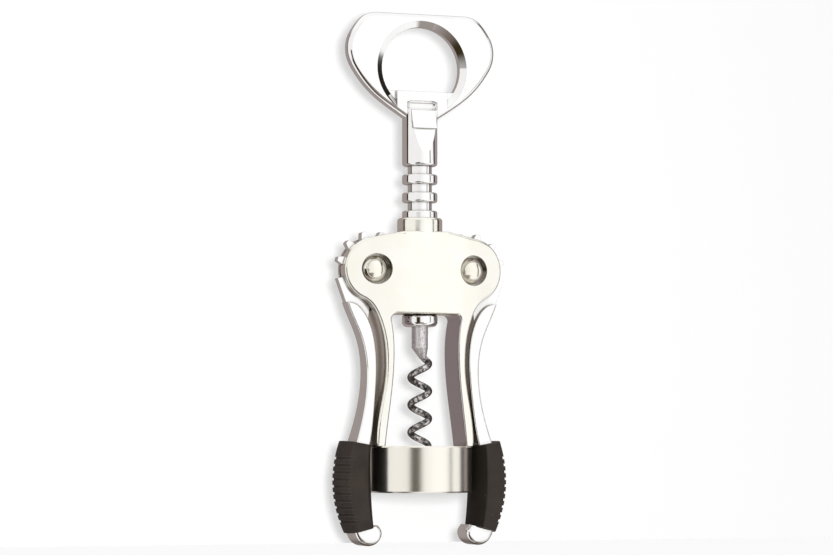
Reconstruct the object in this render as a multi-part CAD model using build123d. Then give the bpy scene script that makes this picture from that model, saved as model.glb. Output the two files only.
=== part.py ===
from build123d import *

import math
import os

# A wing corkscrew. Millimetres, +Z up, front towards -Y. The origin is on the screw's axis,
# at the bottom of the bell ring that sits on the bottle.

# ---- gears and rack
gear_pitch_radius = 12.0
gear_teeth_in_circle = 12
gear_tooth_count = 7
gear_tip_radius = 13.2
gear_root_radius = 10.8
gear_tip_width = 1.5
gear_root_width = 3.3
gear_tip_rounding = 0.45
gear_thickness = 3.2
rack_pitch_radius = 5.75
rack_ring_radius = 6.1
rack_core_radius = 4.2
rack_ring_width = 3.4
rack_ring_rounding = 0.7
rack_rings_below_pivot = 2
rack_rings_above_pivot = 5
rack_end_length = 1.03

# ---- frame casting
pivot_height = 76.4
lobe_radius = 11.0
collar_radius = 7.8
collar_height = 4.8
collar_rounding = 1.0
shoulder_rise = 13.2
plate_depth = 7.85
plate_depth_at_pivot = 6.0
plate_depth_at_lobe = 3.8
plate_edge_rounding = 0.9
bridge_drop = 15.2
window_top_half_width = 13.2
window_corner_radius = 2.0
waist_height = 44.0
waist_half_width = 14.5
waist_thickness = 2.8
leg_edge_rounding = 0.8
foot_thickness = 3.1
foot_tenon_thickness = 1.8
foot_tenon_width = 7.0
foot_tenon_length = 3.0
foot_overlap = 1.0
collar_depth_in_plates = 2.0
gear_slot_side_gap = 0.25
gear_slot_end_gap = 0.6
lobe_end_angle = -65.0
flank_point = (-0.85, -17.2)
leg_point = (16.2, 30.3)

# ---- bell ring
ring_radius = 17.8
ring_height = 15.9
ring_edge_bevel = 0.5
bottle_bore_radius = 16.0
bottle_bore_length = 8.0
throat_radius = 12.6
throat_bevel = 0.8

# ---- pivots
rivet_sleeve_radius = 3.0
rivet_core_radius = 2.0
rivet_head_radius = 4.5
rivet_head_height = 1.9
rivet_head_edge = 0.5
rivet_groove_radius = 3.2
rivet_groove_depth = 0.25
rivet_recess_radius = 5.25
rivet_recess_depth = 2.7

# ---- levers
shoulder_radius = 14.4
arm_shoulder_half_depth = 3.1
arm_waist_half_depth = 3.5
arm_grip_half_depth = 5.2
arm_edge_bevel = 0.6
arm_corner_angle = -14.5
arm_shoulder_point = (9.8, -11.4)
arm_shoulder_points = [(6.8, -11.8), (4.2, -13.9), (1.4, -18.8)]
arm_upper_outer_points = [(4.75, -23.4), (2.85, -35.4)]
arm_lower_outer_points = [(22.4, 26.0), (25.2, 16.0)]
arm_upper_inner_point = (-0.75, -32.4)
arm_lower_inner_points = [(17.7, 32.0), (20.2, 15.0)]
arm_reach_in_grip = 2.0
arm_head_room = 1.0
arm_web_points = [(6.5, -16.0), (2.0, -19.5)]
tang_points = [(23.2, 17.5), (25.2, 3.0), (22.6, -14.5)]
tip_points = [
    (25.9, -9.5), (25.1, -14.5), (22.9, -17.3), (19.8, -18.1),
    (16.3, -16.3), (15.4, -13.4), (17.6, -10.2), (19.5, -7.5),
]
tang_thickness = 3.6
tang_half_depth = 4.0
tip_half_depth = 5.2
tip_rounding = 1.6

# ---- grips
grip_top_outer = 18.0
grip_top_inner = 15.8
grip_bottom_outer = -14.7
grip_bottom_inner = -11.4
grip_top_ridge_x = 26.2
grip_top_inner_x = 21.0
grip_middle_ridge_x = 28.6
grip_middle_inner_x = 22.0
grip_bottom_ridge_x = 24.0
grip_bottom_inner_x = 19.6
grip_middle_height = 3.5
grip_ridge_half_depth = 7.6
grip_inner_half_depth = 8.6
grip_outer_bulge = 2.5
grip_inner_bulge = 3.2
grip_end_bulge_share = 0.65
grip_corner_radius = 0.9
groove_count = 10
groove_pitch = 2.4
groove_width = 0.9
groove_depth = 0.5
groove_top = 11.8
groove_reach = 8.0
grip_cut_inner_x = 18.0
grip_cut_outer_x = 30.0

# ---- handle
neck_radius = 6.1
neck_bottom_rounding = 1.0
neck_facet_bottom = 4.1
neck_facet_depth = 1.6
block_bottom = 12.9
block_top = 22.5
block_half_depth = 5.5
block_half_width = 4.4
loop_top = 52.9
loop_half_width = 27.2
loop_widest_height = 40.2
loop_flat_inset = 11.2
loop_neck_height = 16.5
loop_half_thickness = 2.5
loop_edge_rounding = 2.0
loop_upper_point = (2.8, 47.8)
loop_lower_points = [(2.6, 32.5), (8.7, 25.2), (16.8, 19.2)]
opening_radius = 14.4
opening_height = 33.9
opening_flat_height = 25.9
opening_corner_radius = 1.0
countersink_width = 2.1
countersink_depth = 1.3
lip_half_width = 9.2
lip_recess_height = 21.0
lip_recess_radius = 1.75
lip_recess_half_width = 5.6
lip_recess_axis_depth = 0.6
lip_recess_end_rounding = 1.5

# ---- screw
spindle_radius = 2.0
spindle_seat_in_neck = 12.0
hub_radius = 6.15
hub_length = 4.1
hub_top_rounding = 0.9
hub_bottom_rounding = 1.7
hub_seat_depth = 2.0
shank_radius = 2.8
shank_length = 7.2
shank_foot_length = 3.7
shank_foot_offset = 1.2
worm_wire_radius = 1.15
worm_outer_radius = 4.3
worm_pitch = 9.45
worm_length = 34.6
worm_top_drop = 11.9
worm_top_angle = 9.0
worm_taper_turns = 0.75
worm_point_radius = 0.15

# ---- clearances, on the radius or on each side
running_clearance = 0.05
press_clearance = 0.02
axial_play = 0.10
guide_clearance = 0.08

# ---- worked out from the sizes above
tooth_angle = 360.0 / gear_teeth_in_circle
rack_pitch = 2 * math.pi * gear_pitch_radius / gear_teeth_in_circle
pivot_x = rack_pitch_radius + gear_pitch_radius
shoulder_height = pivot_height + shoulder_rise
collar_top = shoulder_height + collar_height
bridge_bottom = pivot_height - bridge_drop
neck_bottom = pivot_height + (rack_rings_above_pivot + 1) * rack_pitch - rack_ring_width / 2
rack_bottom = pivot_height - rack_rings_below_pivot * rack_pitch - rack_ring_width / 2 - rack_end_length
hub_top = rack_bottom - axial_play
hub_bottom = hub_top - hub_length
shank_foot_top = hub_bottom - shank_length
shank_bottom = shank_foot_top - shank_foot_length
worm_top_height = hub_bottom - worm_top_drop
worm_tip_height = worm_top_height - worm_length
guide_radius = rack_ring_radius + guide_clearance
gear_slot_half = gear_thickness / 2 + gear_slot_side_gap
gear_slot_radius = shoulder_radius - gear_slot_end_gap / 3
recess_floor = plate_depth_at_pivot - rivet_recess_depth


# ---- helpers
def slab(sketch, half_thickness):
    """A sketch drawn in X and Z, made into a plate centred on the middle plane."""
    return extrude(Plane.XZ * sketch, amount=half_thickness, both=True)


def side_slab(sketch, half_width):
    """A sketch drawn in Y and Z, made into a plate centred on the screw's axis."""
    return extrude(Plane.YZ * sketch, amount=half_width, both=True)


def upright(radius, bottom, top):
    """A round bar along the screw's axis."""
    return Pos(0, 0, (bottom + top) / 2) * Cylinder(radius, top - bottom)


def crosswise(radius, front, back):
    """A round bar along Y through the right pivot."""
    return Pos(pivot_x, (front + back) / 2, pivot_height) * Rot(X=90) * Cylinder(radius, back - front)


def both_sides(solid):
    """A solid on the right together with its mirror image on the left."""
    return solid + mirror(solid, about=Plane.YZ)


def from_pivot(offset):
    """The point (X, Z) this far across and up from the right pivot."""
    return (pivot_x + offset[0], pivot_height + offset[1])


def around_pivot(radius, degrees):
    """The point (X, Z) at this radius and angle from the right pivot."""
    angle = math.radians(degrees)
    return (pivot_x + radius * math.cos(angle), pivot_height + radius * math.sin(angle))


# ---- frame casting
def frame_outline():
    """Lobes round the pivots, flanks, and legs that widen to the ring."""
    shoulder = (collar_radius, shoulder_height)
    to_shoulder = (collar_radius - pivot_x, shoulder_height - pivot_height)
    reach = math.hypot(*to_shoulder)
    tangent_turn = math.acos(lobe_radius / reach)
    lobe_start = math.degrees(math.atan2(to_shoulder[1], to_shoulder[0]) - tangent_turn)
    lobe_top = around_pivot(lobe_radius, lobe_start)
    lobe_middle = (lobe_start + lobe_end_angle) / 2
    flank_start = around_pivot(lobe_radius, lobe_end_angle)
    end = math.radians(lobe_end_angle)
    waist = (waist_half_width, waist_height)
    foot = (ring_radius, ring_height)
    half = make_face([
        Line((0, shoulder_height), shoulder),
        Line(shoulder, lobe_top),
        ThreePointArc(lobe_top, around_pivot(lobe_radius, lobe_middle), flank_start),
        Spline(flank_start, from_pivot(flank_point), waist, tangents=[(math.sin(end), -math.cos(end)), (0, -1)]),
        Spline(waist, leg_point, foot, tangents=[(0, -1), (0, -1)]),
        Line(foot, (0, ring_height)),
        Line((0, ring_height), (0, shoulder_height)),
    ])
    return half + mirror(half, about=Plane.YZ)


def window_outline():
    """The opening between the legs, under the bridge."""
    corner = (window_top_half_width, bridge_bottom)
    waist = (waist_half_width - waist_thickness, waist_height)
    foot = (ring_radius - foot_thickness, ring_height)
    half = make_face([
        Line((0, bridge_bottom), corner),
        Spline(corner, waist, foot, tangents=[(-0.3, -1), (0.1, -1)]),
        Line(foot, (0, ring_height)),
        Line((0, ring_height), (0, bridge_bottom)),
    ])
    window = half + mirror(half, about=Plane.YZ)
    return fillet(window.vertices().group_by(Axis.Y)[-1], window_corner_radius)


def bow_outline():
    """The casting seen from above: thickest at the axis, thin at the lobes' ends."""
    lobe_end = pivot_x + lobe_radius + 1
    front = Spline((0, plate_depth), (pivot_x, plate_depth_at_pivot), (lobe_end, plate_depth_at_lobe),
                   tangents=[(1, 0), (1, -0.17)])
    quarter = make_face([
        front,
        Line((lobe_end, plate_depth_at_lobe), (lobe_end, 0)),
        Line((lobe_end, 0), (0, 0)),
        Line((0, 0), (0, plate_depth)),
    ])
    half = quarter + mirror(quarter, about=Plane.XZ)
    return half + mirror(half, about=Plane.YZ)


def frame_blank():
    """The bowed casting with rounded edges, before any hole is cut."""
    blank = slab(frame_outline(), plate_depth + 1)
    blank &= Pos(0, 0, ring_height) * extrude(bow_outline(), pivot_height)
    rim = [edge for edge in blank.edges() if edge.center().Z > ring_height + 1 and abs(edge.center().Y) > 1]
    return fillet(rim, plate_edge_rounding)


def rivet_seat(side):
    """The round recess round one rivet head, on the front (-1) or the back (+1)."""
    seat = crosswise(rivet_recess_radius, recess_floor, plate_depth + 1)
    return seat if side > 0 else mirror(seat, about=Plane.XZ)


def frame_casting():
    """Plates, collar, bridge and legs in one piece."""
    body = frame_blank() - slab(window_outline(), plate_depth + 1)
    rim = [edge for edge in body.edges()
           if abs(edge.center().Y) > plate_depth_at_pivot
           and edge.bounding_box().max.Z < bridge_bottom + plate_edge_rounding / 2
           and abs(edge.center().X) < window_top_half_width]
    body = fillet(rim, leg_edge_rounding)
    collar = upright(collar_radius, shoulder_height - collar_depth_in_plates, collar_top)
    body += fillet(collar.edges().group_by(Axis.Z)[-1], collar_rounding)
    body -= upright(guide_radius, bridge_bottom - 1, collar_top + 1)
    slot = slab(Pos(pivot_x, pivot_height) * Circle(gear_slot_radius), gear_slot_half)
    holes = crosswise(rivet_sleeve_radius + press_clearance, -plate_depth, plate_depth)
    body -= both_sides(slot + holes + rivet_seat(-1) + rivet_seat(1))
    return body + both_sides(foot_tenon(0))


# ---- bell ring
def bell_ring():
    """Turned ring: the bottle seats in its lower bore, the cork passes its throat."""
    ring = upright(ring_radius, 0, ring_height)
    ring = chamfer(ring.edges(), ring_edge_bevel)
    ring -= upright(bottle_bore_radius, 0, bottle_bore_length)
    ring -= upright(throat_radius, bottle_bore_length, ring_height)
    mouth = ring.edges().filter_by(GeomType.CIRCLE)
    ring = chamfer([edge for edge in mouth if abs(edge.radius - throat_radius) < ring_edge_bevel / 2], throat_bevel)
    return ring - both_sides(foot_tenon(press_clearance))


def foot_tenon(clearance):
    """The tongue under the right foot, and with a clearance the pocket that takes it."""
    middle = ring_radius - foot_thickness / 2
    depth = foot_tenon_length + clearance + foot_overlap
    size = (foot_tenon_thickness + 2 * clearance, foot_tenon_width + 2 * clearance, depth)
    return Pos(middle, 0, ring_height + foot_overlap / 2 - (depth - foot_overlap) / 2) * Box(*size)


# ---- pivots
def rivet_head():
    """A domed head with a turned groove, its seat on the floor at Z = 0, facing +Z."""
    dome_height = rivet_head_height - rivet_head_edge
    dome_radius = (rivet_head_radius**2 + dome_height**2) / (2 * dome_height)
    ball = Pos(0, 0, rivet_head_height - dome_radius) * Sphere(dome_radius)
    head = Pos(0, 0, rivet_head_height / 2) * Cylinder(rivet_head_radius, rivet_head_height)
    groove = Pos(0, 0, rivet_head_height - rivet_groove_radius**2 / (2 * dome_radius))
    return (head & ball) - groove * Torus(rivet_groove_radius, rivet_groove_depth)


def pivot_rivet():
    """Front half of the right pivot: a head and the core that is pressed into the socket."""
    length = 2 * recess_floor - 2 * axial_play
    rivet = rivet_head() + Pos(0, 0, -length / 2) * Cylinder(rivet_core_radius, length)
    return Pos(pivot_x, -recess_floor, pivot_height) * Rot(X=90) * rivet


def rivet_socket():
    """Back half of the right pivot: a head and the sleeve that the lever turns on."""
    length = 2 * recess_floor - axial_play
    socket = rivet_head() + Pos(0, 0, -length / 2) * Cylinder(rivet_sleeve_radius, length)
    socket -= Pos(0, 0, -length / 2) * Cylinder(rivet_core_radius + press_clearance, length)
    return Pos(pivot_x, recess_floor, pivot_height) * Rot(X=-90) * socket


# ---- levers
def gear_tooth():
    """One tooth pointing along +X from the gear's centre."""
    base = gear_root_radius - gear_tip_rounding
    tooth = make_face(Polyline(
        (base, -gear_root_width / 2),
        (gear_tip_radius, -gear_tip_width / 2),
        (gear_tip_radius, gear_tip_width / 2),
        (base, gear_root_width / 2),
        close=True,
    ))
    return fillet(tooth.vertices().group_by(Axis.X)[-1], gear_tip_rounding)


def gear_outline():
    """Toothed disc of the right lever, a tooth space facing the rack."""
    first = 180.0 + tooth_angle / 2
    outline = Circle(gear_root_radius)
    for tooth in range(gear_tooth_count):
        outline += Rot(Z=first - tooth * tooth_angle) * gear_tooth()
    return Pos(pivot_x, pivot_height) * outline


def web_outline():
    """The thin plate of the right lever between its gear and its arm."""
    corner = around_pivot(gear_tip_radius, arm_corner_angle)
    inside_arm = [from_pivot(point) for point in arm_web_points]
    return make_face(Polyline(
        (pivot_x, pivot_height), corner, from_pivot(arm_shoulder_point), *inside_arm, close=True))


def arm_outline():
    """The thicker arm of the right lever, from its round shoulder to its grip."""
    shoulder = from_pivot(arm_shoulder_point)
    outer = [from_pivot(point) for point in arm_upper_outer_points] + arm_lower_outer_points
    upper_inner_points = arm_shoulder_points + [arm_upper_inner_point]
    inner = [from_pivot(point) for point in upper_inner_points] + arm_lower_inner_points
    return make_face([
        Spline(shoulder, *outer, tangents=[(-0.35, -1), (0.3, -1)]),
        Line(outer[-1], inner[-1]),
        Spline(*reversed(inner), shoulder, tangents=[(-0.25, 1), (1, 0)]),
    ])


def arm_depth_outline():
    """Side view of the arm, deeper towards the grip."""
    shoulder_z = pivot_height + arm_shoulder_point[1] + arm_head_room
    end_z = grip_top_inner - arm_reach_in_grip
    half = make_face([
        Line((0, shoulder_z), (arm_shoulder_half_depth, shoulder_z)),
        Spline((arm_shoulder_half_depth, shoulder_z), (arm_waist_half_depth, waist_height),
               (arm_grip_half_depth, grip_top_inner), tangents=[(0, -1), (0.1, -1)]),
        Line((arm_grip_half_depth, grip_top_inner), (arm_grip_half_depth, end_z)),
        Line((arm_grip_half_depth, end_z), (0, end_z)),
        Line((0, end_z), (0, shoulder_z)),
    ])
    return half + mirror(half, about=Plane.YZ)


def lever():
    """Right lever: gear, web, arm, tang and tip in one casting."""
    arm = slab(arm_outline(), plate_depth)
    arm &= side_slab(arm_depth_outline(), pivot_x + loop_half_width)
    arm = fillet(long_edges(arm), arm_edge_bevel)
    gear = slab(gear_outline() + web_outline(), gear_thickness / 2)
    bore = crosswise(rivet_sleeve_radius + running_clearance, -plate_depth, plate_depth)
    return gear + arm + tang() + lever_tip() - bore


def long_edges(arm):
    """The edges that run down an arm's four corners."""
    return [edge for edge in arm.edges()
            if edge.bounding_box().size.Z > arm_edge_bevel * 4 and abs(edge.center().Y) > 1]


def tang():
    """The bar inside the right grip."""
    outer = [(x + tang_thickness / 2, z) for x, z in tang_points]
    inner = [(x - tang_thickness / 2, z) for x, z in reversed(tang_points)]
    outline = make_face([
        Spline(*outer),
        Line(outer[-1], inner[0]),
        Spline(*inner),
        Line(inner[-1], outer[0]),
    ])
    return slab(outline, tang_half_depth)


def lever_tip():
    """The bright rounded nose under the right grip."""
    outline = make_face([Spline(*tip_points), Line(tip_points[-1], tip_points[0])])
    nose = slab(outline, tip_half_depth)
    curved = [edge for edge in nose.edges() if edge.geom_type == GeomType.BSPLINE]
    return fillet(curved, tip_rounding) - slab(grip_cut(), tip_half_depth + 1)


# ---- grips
def grip_end_point(x, outer_height, inner_height):
    """A point (X, Z) on the slanting cut across a grip's end."""
    share = (x - grip_cut_inner_x) / (grip_cut_outer_x - grip_cut_inner_x)
    return (x, inner_height + share * (outer_height - inner_height))


def grip_section(height, ridge_x, inner_x, bulge_share, trim=0.0):
    """A level slice of the grip: ribbed outer arc, flat front and back, bulged inner side."""
    outer_x = ridge_x + grip_outer_bulge * bulge_share - trim
    innermost_x = inner_x - grip_inner_bulge * bulge_share
    ridge = (ridge_x - trim, grip_ridge_half_depth)
    inner = (inner_x, grip_inner_half_depth)
    face = make_face([
        ThreePointArc((ridge[0], -ridge[1]), (outer_x, 0), ridge),
        Line(ridge, inner),
        ThreePointArc(inner, (innermost_x, 0), (inner[0], -inner[1])),
        Line((inner[0], -inner[1]), (ridge[0], -ridge[1])),
    ])
    return Pos(0, 0, height) * fillet(face.vertices(), grip_corner_radius)


def grip_blank(trim=0.0):
    """The bowed grip without its ribs, longer than the cuts across its ends."""
    top = grip_top_outer + 1
    bottom = grip_bottom_outer - 1
    return loft([
        grip_section(bottom, grip_bottom_ridge_x, grip_bottom_inner_x, grip_end_bulge_share, trim),
        grip_section(grip_middle_height, grip_middle_ridge_x, grip_middle_inner_x, 1.0, trim),
        grip_section(top, grip_top_ridge_x, grip_top_inner_x, grip_end_bulge_share, trim),
    ])


def grip_cut():
    """The strip between the slanting cuts across a grip's ends."""
    beyond_inner_x = pivot_x - grip_ridge_half_depth
    beyond_outer_x = pivot_x + 2 * grip_ridge_half_depth
    return make_face(Polyline(
        grip_end_point(beyond_inner_x, grip_top_outer, grip_top_inner),
        grip_end_point(beyond_outer_x, grip_top_outer, grip_top_inner),
        grip_end_point(beyond_outer_x, grip_bottom_outer, grip_bottom_inner),
        grip_end_point(beyond_inner_x, grip_bottom_outer, grip_bottom_inner),
        close=True,
    ))


def grip(lever_solid):
    """The right rubber sleeve, ribbed on its outer side, with the lever's tang in it."""
    sleeve = grip_blank() & slab(grip_cut(), grip_inner_half_depth + 1)
    grooves = Part()
    for groove in range(groove_count):
        height = groove_top - groove * groove_pitch
        slot = Box(2 * groove_reach, 4 * grip_inner_half_depth, groove_width)
        grooves += Pos(grip_cut_outer_x, 0, height) * slot
    return sleeve - (grooves - grip_blank(groove_depth)) - lever_solid


# ---- handle, its heights measured up from the bottom of the neck
def loop_outline():
    """Outline of the handle's loop, down to the neck; its points are set in from its widest place."""
    top = (loop_half_width - loop_flat_inset, loop_top)
    upper, *lower = [(loop_half_width - inset, height) for inset, height in [loop_upper_point] + loop_lower_points]
    widest = (loop_half_width, loop_widest_height)
    neck_corner = (neck_radius, loop_neck_height)
    half = make_face([
        Line((0, loop_top), top),
        Spline(top, upper, widest, tangents=[(1, 0), (0, -1)]),
        Spline(widest, *lower, neck_corner, tangents=[(0, -1), (-0.85, -0.53)]),
        Line(neck_corner, (0, loop_neck_height)),
        Line((0, loop_neck_height), (0, loop_top)),
    ])
    return half + mirror(half, about=Plane.YZ)


def opening_outline():
    """The cap lifter's opening: a circle with a flat lip at its bottom."""
    opening = Pos(0, opening_height) * Circle(opening_radius)
    lip = Pos(0, opening_flat_height - opening_radius) * Rectangle(3 * opening_radius, 2 * opening_radius)
    return fillet((opening - lip).vertices(), opening_corner_radius)


def neck():
    """The round neck, with a facet front and back under a block that leads up into the loop."""
    bar = fillet(upright(neck_radius, 0, block_top).edges().group_by(Axis.Z)[0], neck_bottom_rounding)
    facet_depth = neck_radius - neck_facet_depth
    sides = make_face([
        Polyline((0, 0), (neck_radius, 0), (neck_radius, neck_facet_bottom), (facet_depth, block_bottom),
                 (loop_half_thickness, block_top), (0, block_top), (0, 0)),
    ])
    block = make_face([
        Polyline((0, block_bottom), (block_half_depth, block_bottom), (loop_half_thickness, block_top),
                 (0, block_top), (0, block_bottom)),
    ])
    return (bar & front_and_back(sides, neck_radius)) + front_and_back(block, block_half_width)


def front_and_back(quarter, half_width):
    """A side view of the handle's back half, as a solid together with its mirror image in front."""
    return side_slab(quarter + mirror(quarter, about=Plane.YZ), half_width)


def countersink():
    """The cone cut round the opening's front edge, all but its lip."""
    cone = Cone(opening_radius, opening_radius + countersink_width, countersink_depth)
    cut = Pos(0, countersink_depth / 2 - loop_half_thickness, opening_height) * Rot(X=90) * cone
    below_flat = Pos(0, 0, opening_flat_height - opening_radius)
    return cut - below_flat * Box(2 * lip_half_width, 4 * loop_half_thickness, 2 * opening_radius)


def lip_recess():
    """The scoop under the cap lifter's lip, on the front."""
    scoop = Rot(Y=90) * Cylinder(lip_recess_radius, 2 * lip_recess_half_width)
    scoop = fillet(scoop.edges().filter_by(GeomType.CIRCLE), lip_recess_end_rounding)
    return Pos(0, -loop_half_thickness - lip_recess_axis_depth, lip_recess_height) * scoop


def handle():
    """Loop, cap lifter and neck in one casting."""
    loop = slab(loop_outline(), loop_half_thickness)
    rim = [edge for edge in loop.edges()
           if abs(edge.center().Y) > 1 and edge.center().Z > loop_neck_height + 1]
    loop = fillet(rim, loop_edge_rounding) - slab(opening_outline(), loop_half_thickness + 1)
    loop -= countersink() + mirror(countersink(), about=Plane.XZ)
    body = loop + neck() - lip_recess()
    body -= upright(spindle_radius + press_clearance, 0, spindle_seat_in_neck)
    return Pos(0, 0, neck_bottom) * body


# ---- rack and screw
def rack_sleeve():
    """A sleeve with round teeth, bored for the spindle."""
    top = neck_bottom - axial_play
    sleeve = upright(rack_core_radius, rack_bottom, top)
    for ring in range(-rack_rings_below_pivot, rack_rings_above_pivot + 1):
        centre = pivot_height + ring * rack_pitch
        disc = upright(rack_ring_radius, centre - rack_ring_width / 2, centre + rack_ring_width / 2)
        sleeve += fillet(disc.edges(), rack_ring_rounding)
    return sleeve - upright(spindle_radius + running_clearance, rack_bottom, top)


def spindle():
    """The rod that carries the handle's turn to the worm."""
    return upright(spindle_radius, hub_top - hub_seat_depth, neck_bottom + spindle_seat_in_neck)


def worm_hub():
    """The round hub under the bridge, holding the spindle above and the worm below."""
    hub = upright(hub_radius, hub_bottom, hub_top)
    hub = fillet(hub.edges().group_by(Axis.Z)[-1], hub_top_rounding)
    hub = fillet(hub.edges().group_by(Axis.Z)[0], hub_bottom_rounding)
    hub -= upright(spindle_radius + press_clearance, hub_top - hub_seat_depth, hub_top)
    return hub - upright(shank_radius + press_clearance, hub_bottom, hub_top - hub_seat_depth)


def worm():
    """The pointed wire helix, drawn in to the axis under a round shank."""
    coil_radius = worm_outer_radius - worm_wire_radius
    taper_height = worm_taper_turns * worm_pitch
    coil_bottom = worm_tip_height + taper_height
    tip_angle = worm_top_angle - 360 * (worm_top_height - worm_tip_height) / worm_pitch
    taper = Pos(0, 0, worm_tip_height) * Rot(Z=tip_angle) * Helix(worm_pitch, taper_height, coil_radius)
    coil_start = Pos(0, 0, coil_bottom) * Rot(Z=tip_angle + 360 * worm_taper_turns)
    coil = coil_start * Helix(worm_pitch, worm_top_height - coil_bottom, coil_radius)
    lead_in = Spline(coil @ 1, (0, 0, shank_foot_top), tangents=[coil % 1, (0, 0, 1)])
    point = Plane(taper @ 0, z_dir=taper % 0) * Circle(worm_point_radius)
    wire = Circle(worm_wire_radius)
    screw = sweep(Plane(coil @ 0, z_dir=coil % 0) * wire, Wire([coil.edge(), lead_in.edge()]))
    screw += sweep([point, Plane(taper @ 1, z_dir=taper % 1) * wire], taper, multisection=True)
    foot = Rot(Z=worm_top_angle) * Pos(shank_foot_offset, 0, shank_bottom) * Circle(worm_wire_radius)
    screw += loft([foot, Pos(0, 0, shank_foot_top) * Circle(shank_radius)])
    return screw + upright(shank_radius, shank_foot_top, hub_top - hub_seat_depth)


# ---- build
def build():
    """All pieces by name; the left pieces are the right ones mirrored."""
    right_lever = lever()
    right = {
        "pivot_rivet": pivot_rivet(),
        "rivet_socket": rivet_socket(),
        "lever": right_lever,
        "grip": grip(right_lever),
    }
    pieces = {
        "frame_casting": frame_casting(),
        "bell_ring": bell_ring(),
        "handle": handle(),
        "rack_sleeve": rack_sleeve(),
        "spindle": spindle(),
        "worm_hub": worm_hub(),
        "worm": worm(),
    }
    for name, solid in right.items():
        pieces["right_" + name] = solid
        pieces["left_" + name] = mirror(solid, about=Plane.YZ)
    return pieces


os.makedirs("parts", exist_ok=True)
for name, solid in build().items():
    export_step(solid, f"parts/{name}.step")
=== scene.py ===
import math

import bpy
from mathutils import Matrix, Vector


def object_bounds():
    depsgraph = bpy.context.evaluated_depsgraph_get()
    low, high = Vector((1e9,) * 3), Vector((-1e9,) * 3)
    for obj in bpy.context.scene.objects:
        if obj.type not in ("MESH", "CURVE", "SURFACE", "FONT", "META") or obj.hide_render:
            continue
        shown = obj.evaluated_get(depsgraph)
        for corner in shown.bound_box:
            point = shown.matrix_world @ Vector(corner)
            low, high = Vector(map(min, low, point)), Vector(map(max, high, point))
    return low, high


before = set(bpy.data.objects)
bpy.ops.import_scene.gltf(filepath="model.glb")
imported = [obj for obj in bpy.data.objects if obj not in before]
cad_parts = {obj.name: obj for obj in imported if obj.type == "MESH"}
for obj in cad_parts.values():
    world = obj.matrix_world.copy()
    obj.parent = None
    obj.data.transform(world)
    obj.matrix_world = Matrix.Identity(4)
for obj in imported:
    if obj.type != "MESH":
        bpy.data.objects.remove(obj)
cad_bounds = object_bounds()
MM = 0.001

# ---- the photograph's view, in degrees, millimetres and pixels of an 833 x 555 picture
VIEW_AZIMUTH = -20.85
VIEW_ELEVATION = -3.12
VIEW_DISTANCE = 1053.9
VIEW_SIDESTEP = -1.12
VIEW_HEIGHT = 74.0
FOCAL_PIXELS = 3053.0
IMAGE_WIDTH = 833.0
SENSOR_WIDTH = 36.0

# ---- finishes: linear colours, lengths in metres, noise scales per metre
SHADER_SAMPLES = 6

CHROME = dict(dark=(0.93, 0.925, 0.92), light=(0.97, 0.97, 0.97), rough=(0.02, 0.07), wave=0.12)
# satin nickel's last colour is painted shade on the sides that face the middle
NICKEL = dict(dark=(0.95, 0.925, 0.84), light=(0.98, 0.97, 0.91), rough=(0.10, 0.16), wave=0.1,
              inner_shade=(0.54, 0.50, 0.52))
RIVET = dict(dark=(0.90, 0.86, 0.74), light=(0.97, 0.95, 0.88), rough=(0.03, 0.08), wave=0.2)
DRIFT = dict(scale=120)
DRIFT_START, DRIFT_END = 0.3, 0.7
POLISH = dict(scale=900, detail=5)
WAVE = dict(scale=90, detail=1)
WAVE_HEIGHT = 0.0006
GRAIN = dict(scale=2600, detail=2)
GRAIN_HEIGHT = 0.00002
GRAIN_SHARE = 0.3
# painted shade on the sides that face the middle, fading in over these distances
PLATE_INNER_SHADE = (0.002, 0.009)
# painted shade in crevices and recesses, by how open the surface is
CREVICE_SHADE_REACH = 0.005
CREVICE_SHADE_OPENNESS = (0.22, 0.62)
CREVICE_SHADE_COLOUR = (0.16, 0.135, 0.10)
# painted dark lines along sharp edges, standing in for dark reflections on their rounding
EDGE_REFLECTION_RADIUS = 0.00016
EDGE_REFLECTION_COLOUR = (0.20, 0.17, 0.15)
EDGE_REFLECTION_TURN = (0.995, 0.93)

BRUSH_STRETCH = (1, 1, 60)
BRUSH = dict(scale=260, detail=6, rough=0.7)
BRUSH_BUMP = dict(strength=0.12, distance=0.00004)
BRUSH_COLOURS = [(0.3, (0.93, 0.89, 0.80)), (0.7, (0.98, 0.955, 0.89))]
BRUSH_ROUGH = (0.13, 0.22)
BRUSH_ANISOTROPY = 0.75

RUBBER_PATCHES = dict(scale=160, detail=4)
RUBBER_GRAIN = dict(scale=4200, detail=3)
RUBBER_BUMP = dict(strength=0.35, distance=0.00004)
RUBBER_COLOURS = [(0.3, (0.022, 0.017, 0.014)), (0.7, (0.036, 0.028, 0.023))]
RUBBER_ROUGH = (0.62, 0.78)
# painted shade on the rubber's sides that face the middle
RUBBER_INNER_SHADE = (0.008, 0.018)
RUBBER_INNER_SHADE_COLOUR = (0.007, 0.005, 0.003)
RUBBER_EDGE_RADIUS = 0.0004
RUBBER_EDGE_TURN = (0.94, 0.80)
RUBBER_EDGE_COLOUR = (0.075, 0.062, 0.052)
RUBBER_SPECULAR = 0.35
DUST = dict(scale=1500, detail=1)
DUST_LIMITS = [(0.76, (0, 0, 0)), (0.80, (1, 1, 1))]
DUST_COLOUR = (0.12, 0.10, 0.09)

STEEL_BLOTCHES = dict(scale=820, detail=4, rough=0.62)
STEEL_GRAINS = dict(scale=3800, detail=2, rough=0.6)
STEEL_BUMP = dict(strength=0.5, distance=0.0001)
WIRE_COLOURS = [
    (0.40, (0.07, 0.06, 0.06)), (0.49, (0.26, 0.24, 0.235)), (0.56, (0.80, 0.77, 0.76)),
]
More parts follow.
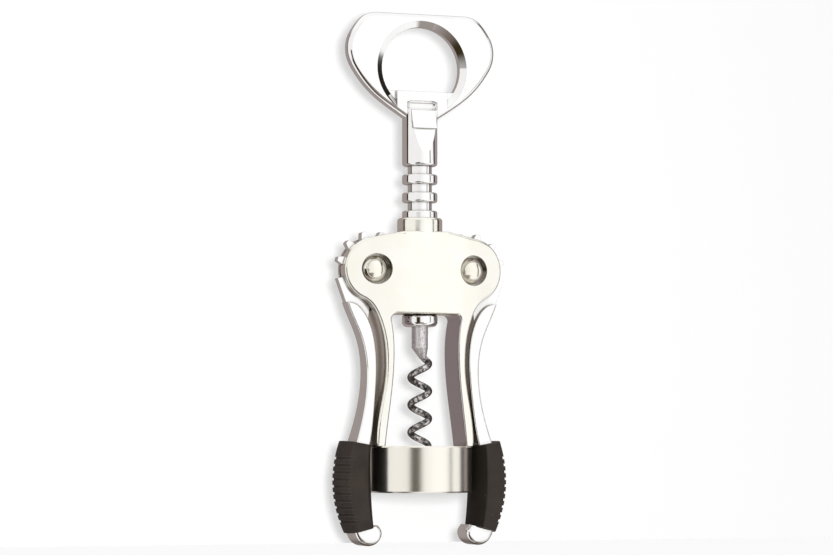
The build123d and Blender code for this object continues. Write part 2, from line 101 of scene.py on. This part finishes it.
# painted shade where the wire turns away from the eye
WIRE_RIM_SHADE = (0.28, 0.62)
WIRE_RIM_SHADE_COLOUR = (0.055, 0.048, 0.046)
SHANK_COLOURS = [
    (0.38, (0.25, 0.23, 0.23)), (0.44, (0.74, 0.71, 0.705)), (0.65, (0.88, 0.86, 0.86)),
]
# painted shade where the shank turns away from the eye
SHANK_RIM_SHADE = (0.72, 0.90)
SHANK_RIM_SHADE_COLOUR = (0.10, 0.09, 0.09)
SHANK_START = (0.0455, 0.0463)
STEEL_METALLIC = 0.8
STEEL_ROUGH = (0.5, 0.28)

# ---- the studio that polished metal sees
WHITE = (1.0, 1.0, 1.0)
DIM_ROOM = (0.34, 0.295, 0.28)
DARK_GAP = (0.02, 0.016, 0.012)
LEFT_LIGHT = (0.92, 0.91, 0.90)
MIDDLE_LIGHT = (1.08, 1.08, 1.08)
RIGHT_LIGHT = (0.98, 0.98, 0.97)
# colours round the horizon by degrees to the right of straight in front
LEVEL_BANDS = [
    (-180, DIM_ROOM), (-115, DIM_ROOM), (-113, DARK_GAP), (-103, DARK_GAP), (-101, LEFT_LIGHT),
    (-16, LEFT_LIGHT), (14, MIDDLE_LIGHT), (40, MIDDLE_LIGHT), (49, LEFT_LIGHT), (50.5, DARK_GAP),
    (54, DARK_GAP), (56, RIGHT_LIGHT), (80, RIGHT_LIGHT), (82, DARK_GAP), (94, DARK_GAP),
    (97, DIM_ROOM), (180, DIM_ROOM),
]
# colours under the horizon, from -180 straight behind to 180 straight in front
LOW_BANDS = [
    (-180, DIM_ROOM), (-45, DIM_ROOM), (-38, DARK_GAP), (-22, DARK_GAP), (-14, LEFT_LIGHT),
    (60, RIGHT_LIGHT), (180, MIDDLE_LIGHT),
]
LOW_START = (-0.22, -0.42)
TOP_START = (0.55, 0.8)
# a dark figure low in front, paler to the right
FIGURE_BANDS = [
    (-180, DARK_GAP), (-44, DARK_GAP), (-27, (0.16, 0.13, 0.11)), (0, (0.34, 0.30, 0.28)),
    (180, (0.5, 0.46, 0.44)),
]
# patches by degrees and height; each limit is where one starts, is full, is still full and ends
FIGURE_PATCH = ((-62, -50, 2, 14), (-0.90, -0.82, -0.34, -0.24))
BROWN_PATCH = ((0, 10, 36, 46), (-0.98, -0.94, -0.70, -0.58))
BROWN = (0.33, 0.29, 0.27)
RING_PATCH = ((-46, -38, -23, -13), (-0.6, -0.4, 0.058, 0.080))
RING_BAND = (0.04, 0.028, 0.012)
HIGH_PATCH = ((64, 70, 92, 100), (0.40, 0.46, 0.60, 0.68))
SOFT_LIGHT = (0.38, 0.38, 0.38)

# ---- the stage, in metres, and its lamp, in millimetres and watts
FLOOR_HALF = 3.0
FLOOR_GLOW = 0.93
BACKDROP_BACK = 0.031
BACKDROP_HALF = 0.25
BACKDROP_TOP = 0.5
BACKDROP_GLOW = 0.50
PAPER_COLOUR = (0.92, 0.92, 0.92)
PAPER_ROUGH = 0.9
KEY_PLACE = (-280, -958, 61)
KEY_SIZE = 105
KEY_WATTS = 8.5


def make_camera():
    """The camera at the photograph's place."""
    azimuth, elevation = math.radians(VIEW_AZIMUTH), math.radians(VIEW_ELEVATION)
    level = math.cos(elevation)
    back = Vector((math.sin(azimuth) * level, -math.cos(azimuth) * level, math.sin(elevation)))
    right = Vector((math.cos(azimuth), math.sin(azimuth), 0))
    up = back.cross(right)
    spot = right * VIEW_SIDESTEP + Vector((0, 0, VIEW_HEIGHT)) + back * VIEW_DISTANCE
    data = bpy.data.cameras.new("view_camera")
    data.sensor_width = SENSOR_WIDTH
    data.lens = FOCAL_PIXELS / IMAGE_WIDTH * SENSOR_WIDTH
    camera = bpy.data.objects.new("view_camera", data)
    bpy.context.scene.collection.objects.link(camera)
    axes = Matrix((right, up, back)).transposed().to_4x4()
    camera.matrix_world = Matrix.Translation(spot * MM) @ axes
    bpy.context.scene.camera = camera


# ---- shader helpers
def new_material(name):
    """A node material, its node tree and its Principled shader."""
    material = bpy.data.materials.new(name)
    material.use_nodes = True
    tree = material.node_tree
    return material, tree, tree.nodes["Principled BSDF"]


def math_node(tree, operation, first, second=None, value=0.0):
    """A math node's result; value stands in for a second socket."""
    node = tree.nodes.new("ShaderNodeMath")
    node.operation = operation
    tree.links.new(first, node.inputs[0])
    if second is None:
        node.inputs[1].default_value = value
    else:
        tree.links.new(second, node.inputs[1])
    return node.outputs["Value"]


def blend_colours(tree, factor, first, second):
    """A colour mix; each side is a socket or a plain colour."""
    node = tree.nodes.new("ShaderNodeMix")
    node.data_type = "RGBA"
    tree.links.new(factor, node.inputs["Factor"])
    for socket, side in (("A", first), ("B", second)):
        if isinstance(side, tuple):
            node.inputs[socket].default_value = (*side, 1.0)
        else:
            tree.links.new(side, node.inputs[socket])
    return node.outputs["Result"]


def blend_shaders(tree, factor, first, second):
    """A mix of two shaders."""
    node = tree.nodes.new("ShaderNodeMixShader")
    tree.links.new(factor, node.inputs["Fac"])
    tree.links.new(first, node.inputs[1])
    tree.links.new(second, node.inputs[2])
    return node.outputs["Shader"]


def window(tree, value, low, high):
    """0 before low and 1 past high, smooth between; low may be the larger."""
    node = tree.nodes.new("ShaderNodeMapRange")
    node.interpolation_type = "SMOOTHSTEP"
    tree.links.new(value, node.inputs["Value"])
    node.inputs["From Min"].default_value = low
    node.inputs["From Max"].default_value = high
    return node.outputs["Result"]


def spread(tree, factor, low, high):
    """A 0 to 1 factor mapped to low to high."""
    node = tree.nodes.new("ShaderNodeMapRange")
    tree.links.new(factor, node.inputs["Value"])
    node.inputs["To Min"].default_value = low
    node.inputs["To Max"].default_value = high
    return node.outputs["Result"]


def ramp(tree, factor, stops):
    """A colour ramp through (position, colour) stops."""
    node = tree.nodes.new("ShaderNodeValToRGB")
    tree.links.new(factor, node.inputs["Fac"])
    elements = node.color_ramp.elements
    while len(elements) < len(stops):
        elements.new(0.5)
    for element, (position, colour) in zip(elements, stops):
        element.position = position
        element.color = (*colour, 1.0)
    return node.outputs["Color"]


def noise(tree, vector, scale, detail=3.0, rough=0.5):
    """A noise texture's factor socket."""
    node = tree.nodes.new("ShaderNodeTexNoise")
    node.inputs["Scale"].default_value = scale
    node.inputs["Detail"].default_value = detail
    node.inputs["Roughness"].default_value = rough
    tree.links.new(vector, node.inputs["Vector"])
    return node.outputs["Fac"]


def bump(tree, height, strength, distance, normal=None):
    """A bump node's normal socket; distance in metres."""
    node = tree.nodes.new("ShaderNodeBump")
    node.inputs["Strength"].default_value = strength
    node.inputs["Distance"].default_value = distance
    tree.links.new(height, node.inputs["Height"])
    if normal is not None:
        tree.links.new(normal, node.inputs["Normal"])
    return node.outputs["Normal"]


def axis_of(tree, vector, axis):
    """One axis of a vector socket."""
    split = tree.nodes.new("ShaderNodeSeparateXYZ")
    tree.links.new(vector, split.inputs["Vector"])
    return split.outputs[axis]


def place(tree, scale=(1, 1, 1)):
    """Object coordinates in metres, stretched by scale."""
    coordinates = tree.nodes.new("ShaderNodeTexCoord")
    mapping = tree.nodes.new("ShaderNodeMapping")
    mapping.inputs["Scale"].default_value = scale
    tree.links.new(coordinates.outputs["Object"], mapping.inputs["Vector"])
    return mapping.outputs["Vector"]


def edges_of(tree, radius, start, full):
    """1 along sharp edges, 0 elsewhere; start and full are cosines of the turn at an edge."""
    rounded = tree.nodes.new("ShaderNodeBevel")
    rounded.samples = SHADER_SAMPLES
    rounded.inputs["Radius"].default_value = radius
    flat = tree.nodes.new("ShaderNodeNewGeometry")
    product = tree.nodes.new("ShaderNodeVectorMath")
    product.operation = "DOT_PRODUCT"
    tree.links.new(rounded.outputs["Normal"], product.inputs[0])
    tree.links.new(flat.outputs["Normal"], product.inputs[1])
    return window(tree, product.outputs["Value"], start, full)


def openness(tree, reach):
    """1 on open surfaces and less in crevices."""
    node = tree.nodes.new("ShaderNodeAmbientOcclusion")
    node.samples = SHADER_SAMPLES
    node.inputs["Distance"].default_value = reach
    return node.outputs["AO"]


def rim_of(tree, start, full):
    """1 where a surface turns away from the eye, 0 where it faces it."""
    node = tree.nodes.new("ShaderNodeLayerWeight")
    node.inputs["Blend"].default_value = 0.5
    return window(tree, node.outputs["Facing"], start, full)


def inward_shade_mask(tree, start, full):
    """1 on sides that face the middle, 0 on the others, as a mask for painted shade; start and full
    are distances from it.
    """
    coordinates = tree.nodes.new("ShaderNodeTexCoord")
    across = [axis_of(tree, coordinates.outputs[output], "X") for output in ("Object", "Normal")]
    return window(tree, math_node(tree, "MULTIPLY", *across), -start, -full)


# ---- materials
def polished(name, dark, light, rough, wave, inner_shade=None):
    """Plated casting: colour drift, painted shade in crevices, painted dark edge lines that stand
    in for reflections, uneven polish and a slow wave.

    The last argument, when given, is the colour painted as shade on the sides that face the middle.
    """
    material, tree, shader = new_material(name)
    point = place(tree)
    shader.inputs["Metallic"].default_value = 1.0
    plate = ramp(tree, noise(tree, point, **DRIFT), [(DRIFT_START, dark), (DRIFT_END, light)])
    # painted shade: the sides that face the middle take the darker colour
    if inner_shade is not None:
        plate = blend_colours(tree, inward_shade_mask(tree, *PLATE_INNER_SHADE), plate, inner_shade)
    # painted shade in crevices
    clear = window(tree, openness(tree, CREVICE_SHADE_REACH), *CREVICE_SHADE_OPENNESS)
    plate = blend_colours(tree, clear, CREVICE_SHADE_COLOUR, plate)
    # painted dark edge lines, standing in for dark reflections
    lines = edges_of(tree, EDGE_REFLECTION_RADIUS, *EDGE_REFLECTION_TURN)
    plate = blend_colours(tree, lines, plate, EDGE_REFLECTION_COLOUR)
    tree.links.new(plate, shader.inputs["Base Color"])
    polish = spread(tree, noise(tree, point, **POLISH), *rough)
    tree.links.new(polish, shader.inputs["Roughness"])
    slow = bump(tree, noise(tree, point, **WAVE), wave, WAVE_HEIGHT)
    fine = bump(tree, noise(tree, point, **GRAIN), wave * GRAIN_SHARE, GRAIN_HEIGHT, slow)
    tree.links.new(fine, shader.inputs["Normal"])
    return material


def brushed_ring():
    """Turned metal, brushed round the axis."""
    material, tree, shader = new_material("brushed_nickel")
    lines = noise(tree, place(tree, BRUSH_STRETCH), **BRUSH)
    shader.inputs["Metallic"].default_value = 1.0
    shader.inputs["Anisotropic"].default_value = BRUSH_ANISOTROPY
    tangent = tree.nodes.new("ShaderNodeTangent")
    tangent.axis = "Z"
    tree.links.new(tangent.outputs["Tangent"], shader.inputs["Tangent"])
    tree.links.new(ramp(tree, lines, BRUSH_COLOURS), shader.inputs["Base Color"])
    tree.links.new(spread(tree, lines, *BRUSH_ROUGH), shader.inputs["Roughness"])
    tree.links.new(bump(tree, lines, **BRUSH_BUMP), shader.inputs["Normal"])
    return material


def rubber():
    """Matt moulded rubber with a fine grain, a few pale specks of dust, painted shade on the sides
    that face the middle, and paler sharp edges.
    """
    material, tree, shader = new_material("black_rubber")
    point = place(tree)
    patches = noise(tree, point, **RUBBER_PATCHES)
    body = ramp(tree, patches, RUBBER_COLOURS)
    dust = ramp(tree, noise(tree, point, **DUST), DUST_LIMITS)
    # painted shade on the sides that face the middle
    body = blend_colours(tree, inward_shade_mask(tree, *RUBBER_INNER_SHADE), body, RUBBER_INNER_SHADE_COLOUR)
    # rubber paler along sharp edges
    pale_edges = edges_of(tree, RUBBER_EDGE_RADIUS, *RUBBER_EDGE_TURN)
    body = blend_colours(tree, pale_edges, body, RUBBER_EDGE_COLOUR)
    tree.links.new(blend_colours(tree, dust, body, DUST_COLOUR), shader.inputs["Base Color"])
    tree.links.new(spread(tree, patches, *RUBBER_ROUGH), shader.inputs["Roughness"])
    shader.inputs["Specular IOR Level"].default_value = RUBBER_SPECULAR
    grain = noise(tree, point, **RUBBER_GRAIN)
    tree.links.new(bump(tree, grain, **RUBBER_BUMP), shader.inputs["Normal"])
    return material


def dark_steel():
    """Forged wire: dark scale with bright worn streaks, and a paler sandblasted shank on top; both
    get painted shade where they turn away from the eye.
    """
    material, tree, shader = new_material("dark_steel")
    point = place(tree)
    blotches = noise(tree, point, **STEEL_BLOTCHES)
    grains = noise(tree, point, **STEEL_GRAINS)
    wire = ramp(tree, blotches, WIRE_COLOURS)
    # painted shade where the wire turns away from the eye
    wire = blend_colours(tree, rim_of(tree, *WIRE_RIM_SHADE), wire, WIRE_RIM_SHADE_COLOUR)
    shank = ramp(tree, grains, SHANK_COLOURS)
    # painted shade where the shank turns away from the eye
    shank = blend_colours(tree, rim_of(tree, *SHANK_RIM_SHADE), shank, SHANK_RIM_SHADE_COLOUR)
    upper = window(tree, axis_of(tree, point, "Z"), *SHANK_START)
    tree.links.new(blend_colours(tree, upper, wire, shank), shader.inputs["Base Color"])
    shader.inputs["Metallic"].default_value = STEEL_METALLIC
    tree.links.new(spread(tree, blotches, *STEEL_ROUGH), shader.inputs["Roughness"])
    tree.links.new(bump(tree, blotches, **STEEL_BUMP), shader.inputs["Normal"])
    return material


def dress_frame():
    """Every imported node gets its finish; rivets are warm, and what isn't listed is chrome."""
    chrome = polished("bright_chrome", **CHROME)
    nickel = polished("satin_nickel", **NICKEL)
    warm = polished("rivet_nickel", **RIVET)
    steel, black = dark_steel(), rubber()
    finishes = {
        "frame_casting": nickel,
        "bell_ring": brushed_ring(),
        "spindle": steel,
        "worm": steel,
        "left_grip": black,
        "right_grip": black,
    }
    for node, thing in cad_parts.items():
        finish = finishes.get(node, warm if "rivet" in node else chrome)
        thing.data.materials.clear()
        thing.data.materials.append(finish)


# ---- studio
def bands(tree, value, reach, stops):
    """Colours by angle; value runs from -reach to reach as the stops run from -180 to 180."""
    share = tree.nodes.new("ShaderNodeMapRange")
    tree.links.new(value, share.inputs["Value"])
    share.inputs["From Min"].default_value = -reach
    share.inputs["From Max"].default_value = reach
    shares = [((angle + 180) / 360, colour) for angle, colour in stops]
    return ramp(tree, share.outputs["Result"], shares)


def patch(tree, turn, height, turns, heights):
    """1 inside a patch of the sky and 0 outside it."""
    corners = [math.radians(angle) for angle in turns]
    inside = math_node(tree, "MULTIPLY", window(tree, turn, corners[0], corners[1]),
                       window(tree, turn, corners[3], corners[2]))
    inside = math_node(tree, "MULTIPLY", inside, window(tree, height, heights[0], heights[1]))
    return math_node(tree, "MULTIPLY", inside, window(tree, height, heights[3], heights[2]))


def sky_colour(tree, direction):
    """What polished metal sees: lights in front, a dim room behind, dark gaps and a dark figure."""
    height = axis_of(tree, direction, "Z")
    front = math_node(tree, "MULTIPLY", axis_of(tree, direction, "Y"), value=-1.0)
    turn = math_node(tree, "ARCTAN2", axis_of(tree, direction, "X"), front)
    level = bands(tree, turn, math.pi, LEVEL_BANDS)
    low = bands(tree, front, 1.0, LOW_BANDS)
    figure = bands(tree, turn, math.pi, FIGURE_BANDS)
    sky = blend_colours(tree, window(tree, height, *LOW_START), level, low)
    for limits, colour in ((FIGURE_PATCH, figure), (BROWN_PATCH, BROWN), (RING_PATCH, RING_BAND)):
        sky = blend_colours(tree, patch(tree, turn, height, *limits), sky, colour)
    sky = blend_colours(tree, window(tree, height, *TOP_START), sky, WHITE)
    return blend_colours(tree, patch(tree, turn, height, *HIGH_PATCH), sky, DARK_GAP)


def make_world():
    """White to the camera, the studio to polished metal, plain light to the rest."""
    world = bpy.data.worlds.new("studio")
    bpy.context.scene.world = world
    world.use_nodes = True
    tree = world.node_tree
    path = tree.nodes.new("ShaderNodeLightPath")
    coordinates = tree.nodes.new("ShaderNodeTexCoord")
    sky = sky_colour(tree, coordinates.outputs["Generated"])
    soft = blend_colours(tree, path.outputs["Is Glossy Ray"], SOFT_LIGHT, sky)
    seen = blend_colours(tree, path.outputs["Is Camera Ray"], soft, WHITE)
    tree.links.new(seen, tree.nodes["Background"].inputs["Color"])


def make_key():
    """One square area lamp aimed at the middle of the object."""
    data = bpy.data.lights.new("key", "AREA")
    data.size = KEY_SIZE * MM
    data.energy = KEY_WATTS
    lamp = bpy.data.objects.new("key", data)
    bpy.context.scene.collection.objects.link(lamp)
    lamp.location = Vector(KEY_PLACE) * MM
    lamp.visible_glossy = False
    aim = Vector((0, 0, VIEW_HEIGHT)) - Vector(KEY_PLACE)
    lamp.rotation_mode = "QUATERNION"
    lamp.rotation_quaternion = aim.to_track_quat("-Z", "Y")


# ---- stage
def paper_material(name, glow_share):
    """White paper with shadows to the camera in front of it, and clear to all other rays."""
    material, tree, shader = new_material(name + "_paper")
    shader.inputs["Base Color"].default_value = (*PAPER_COLOUR, 1.0)
    shader.inputs["Roughness"].default_value = PAPER_ROUGH
    shader.inputs["Specular IOR Level"].default_value = 0.0
    path = tree.nodes.new("ShaderNodeLightPath")
    side = tree.nodes.new("ShaderNodeNewGeometry")
    clear = tree.nodes.new("ShaderNodeBsdfTransparent")
    glow = tree.nodes.new("ShaderNodeEmission")
    glow.inputs["Color"].default_value = (*WHITE, 1.0)
    facing = math_node(tree, "SUBTRACT", path.outputs["Is Camera Ray"],
                       side.outputs["Backfacing"])
    share = math_node(tree, "MULTIPLY", facing, value=glow_share)
    paper = blend_shaders(tree, share, shader.outputs["BSDF"], glow.outputs["Emission"])
    seen = blend_shaders(tree, facing, clear.outputs["BSDF"], paper)
    tree.links.new(seen, tree.nodes["Material Output"].inputs["Surface"])
    return material


def stand(name, corners, glow_share):
    """A flat stage paper with these four corners."""
    mesh = bpy.data.meshes.new(name)
    mesh.from_pydata(corners, [], [(0, 1, 2, 3)])
    mesh.materials.append(paper_material(name, glow_share))
    thing = bpy.data.objects.new(name, mesh)
    bpy.context.scene.collection.objects.link(thing)


def make_stage():
    """A pale floor under the lowest point and a pale sheet behind that shows the soft shadow."""
    low, half = cad_bounds[0].z, FLOOR_HALF
    corners = [(-half, -half, low), (half, -half, low), (half, half, low), (-half, half, low)]
    stand("floor", corners, FLOOR_GLOW)
    half, back, top = BACKDROP_HALF, BACKDROP_BACK, BACKDROP_TOP
    corners = [(-half, back, low), (half, back, low), (half, back, top), (-half, back, top)]
    stand("backdrop", corners, BACKDROP_GLOW)


make_camera()
make_world()
make_key()
make_stage()
dress_frame()
bpy.context.scene.view_settings.view_transform = "Standard"
